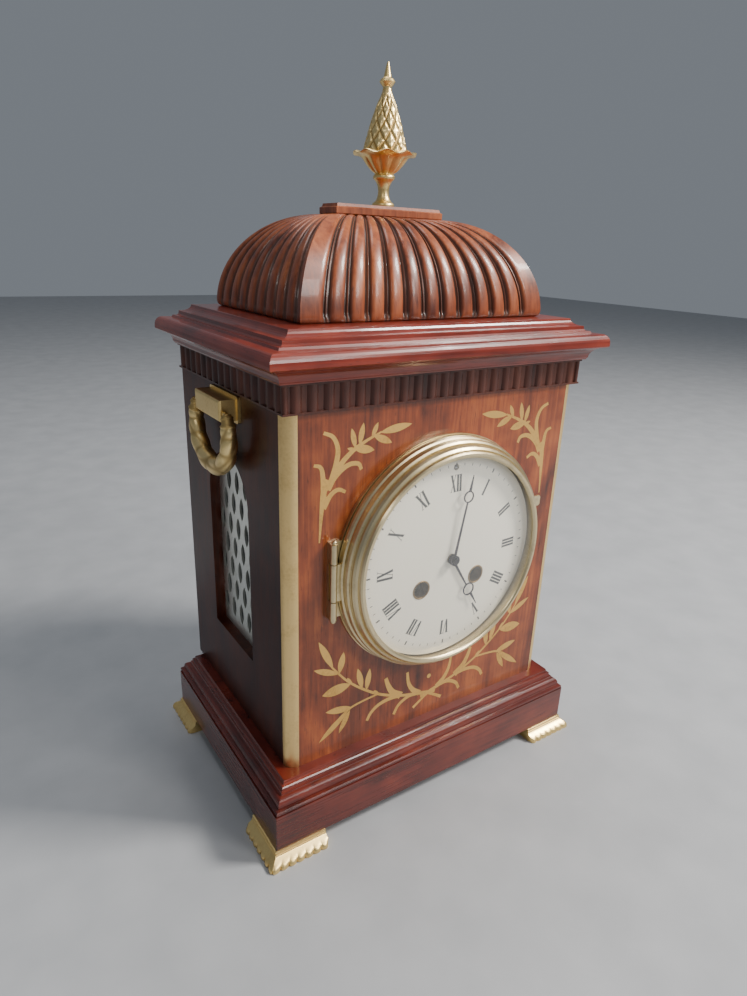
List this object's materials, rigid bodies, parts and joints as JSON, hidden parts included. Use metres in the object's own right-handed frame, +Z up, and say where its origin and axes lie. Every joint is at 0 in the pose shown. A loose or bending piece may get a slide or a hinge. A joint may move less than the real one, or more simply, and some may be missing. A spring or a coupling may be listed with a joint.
{
  "type": "mantel clock",
  "caption": "Mahogany mantel clock with a gadrooned hipped top, pineapple finial, round enamel dial in a hinged brass bezel, brass inlay, side grilles and drop handles.",
  "frame": {"origin": "centre of the overall box, on the underside of the feet", "axes": "X to the right as the dial is read, -Y out of the dial to the front, +Z up"},
  "size_m": [0.2474, 0.1772, 0.4316],
  "materials": {
    "mahogany_front": "gloss, French polished figured veneer",
    "mahogany_carcase": "gloss polished",
    "mahogany_carved": "satin polished, carved",
    "plain_timber": "bare",
    "brass_bright": "polished",
    "brass_aged": "lacquered, dulled",
    "brass_inlay": "flush, polished with the veneer",
    "grille_brass": "dull",
    "grille_silk": "woven",
    "enamel": "gloss",
    "blued_steel": "blued",
    "steel": "polished",
    "bell_bronze": "turned",
    "bezel_glass": "clear"
  },
  "bodies": {
    "case": {"back_panel": "plain_timber", "back_plate": "brass_aged", "back_screws": "steel", "base_moulding": "mahogany_carcase", "base_plinth": "mahogany_carcase", "bell": "bell_bronze", "bell_stand": "brass_aged", "bottom_board": "plain_timber", "corner_strip_left": "brass_bright", "corner_strip_right": "brass_bright", "cornice_moulding": "mahogany_carcase", "dial": "enamel", "dial_pan": "brass_aged", "dome_plate": "mahogany_carved", "finial_cup": "brass_bright", "finial_pineapple": "brass_bright", "finial_rod": "steel", "finial_tip": "brass_bright", "foot_front_left": "brass_bright", "foot_front_right": "brass_bright", "foot_rear_left": "brass_bright", "foot_rear_right": "brass_bright", "frieze": "mahogany_carcase", "front_flange": "brass_aged", "front_panel": "plain_timber", "front_plate": "brass_aged", "front_veneer": "mahogany_front", "gadrooned_dome": "mahogany_carved", "grille_cloth_left": "grille_silk", "grille_cloth_right": "grille_silk", "handle_yoke_left": "brass_bright", "handle_yoke_right": "brass_bright", "inlay_bottom": "brass_inlay", "inlay_top_left": "brass_inlay", "inlay_top_right": "brass_inlay", "left_side": "mahogany_carcase", "movement_straps": "steel", "pendulum_cock": "brass_aged", "rear_ring": "brass_aged", "regulator_arbor": "steel", "right_side": "mahogany_carcase", "side_grille_left": "grille_brass", "side_grille_right": "grille_brass", "top_board": "plain_timber"},
    "bezel": {"bezel_ring": "brass_aged", "bezel_glass": "bezel_glass"},
    "minute_hand_assembly": {"minute_hand": "blued_steel", "cannon_pinion": "brass_aged", "hand_collet": "blued_steel"},
    "hour_hand_assembly": {"hour_hand": "blued_steel", "hour_wheel": "brass_aged"},
    "minute_wheel": {"minute_wheel": "brass_aged"},
    "winding_barrel_left": {"winding_barrel_left": "brass_aged"},
    "winding_barrel_right": {"winding_barrel_right": "brass_aged"},
    "pendulum": {"pendulum_rod": "steel", "pendulum_bob": "brass_aged"},
    "strike_hammer": {"strike_hammer": "steel"},
    "bail_left": {"bail_left": "brass_bright"},
    "bail_right": {"bail_right": "brass_bright"},
    "rear_door": {"rear_door": "brass_aged"}
  },
  "joints": [
    {"name": "bezel_hinge", "type": "hinge", "parent": "case", "child": "bezel", "pos_m": [-0.0755, -0.0709, 0.1667], "axis": [0, 0, -1], "range_deg": [0, 110]},
    {"name": "minute_hand_turn", "type": "hinge", "parent": "case", "child": "minute_hand_assembly", "pos_m": [0, -0.062, 0.1667], "axis": [0, 1, 0], "continuous": true},
    {"name": "hour_hand_turn", "type": "hinge", "parent": "case", "child": "hour_hand_assembly", "pos_m": [0, -0.0655, 0.1667], "axis": [0, 1, 0], "continuous": true},
    {"name": "minute_wheel_turn", "type": "hinge", "parent": "case", "child": "minute_wheel", "pos_m": [0, -0.062, 0.1787], "axis": [0, 1, 0], "continuous": true},
    {"name": "strike_winding", "type": "hinge", "parent": "case", "child": "winding_barrel_left", "pos_m": [-0.0208, -0.037, 0.1512], "axis": [0, 1, 0], "continuous": true},
    {"name": "going_winding", "type": "hinge", "parent": "case", "child": "winding_barrel_right", "pos_m": [0.0208, -0.037, 0.1512], "axis": [0, 1, 0], "continuous": true},
    {"name": "pendulum_swing", "type": "hinge", "parent": "case", "child": "pendulum", "pos_m": [0, -0.011, 0.2057], "axis": [0, 1, 0], "range_deg": [-3, 3]},
    {"name": "hammer_lift", "type": "hinge", "parent": "case", "child": "strike_hammer", "pos_m": [0.036, 0.005, 0.1567], "axis": [0, 1, 0], "range_deg": [0, 12]},
    {"name": "bail_left_lift", "type": "hinge", "parent": "case", "child": "bail_left", "pos_m": [-0.1105, 0.0066, 0.2505], "axis": [0, 1, 0], "range_deg": [0, 85]},
    {"name": "bail_right_lift", "type": "hinge", "parent": "case", "child": "bail_right", "pos_m": [0.1105, 0.0066, 0.2505], "axis": [0, -1, 0], "range_deg": [0, 85]},
    {"name": "rear_door_hinge", "type": "hinge", "parent": "case", "child": "rear_door", "pos_m": [0.0665, 0.084, 0.1667], "axis": [0, 0, -1], "range_deg": [0, 120]}
  ],
  "couplings": [
    {"joint": "hour_hand_turn", "follows": "minute_hand_turn", "ratio": 0.083333},
    {"joint": "minute_wheel_turn", "follows": "minute_hand_turn", "ratio": -0.33333}
  ]
}
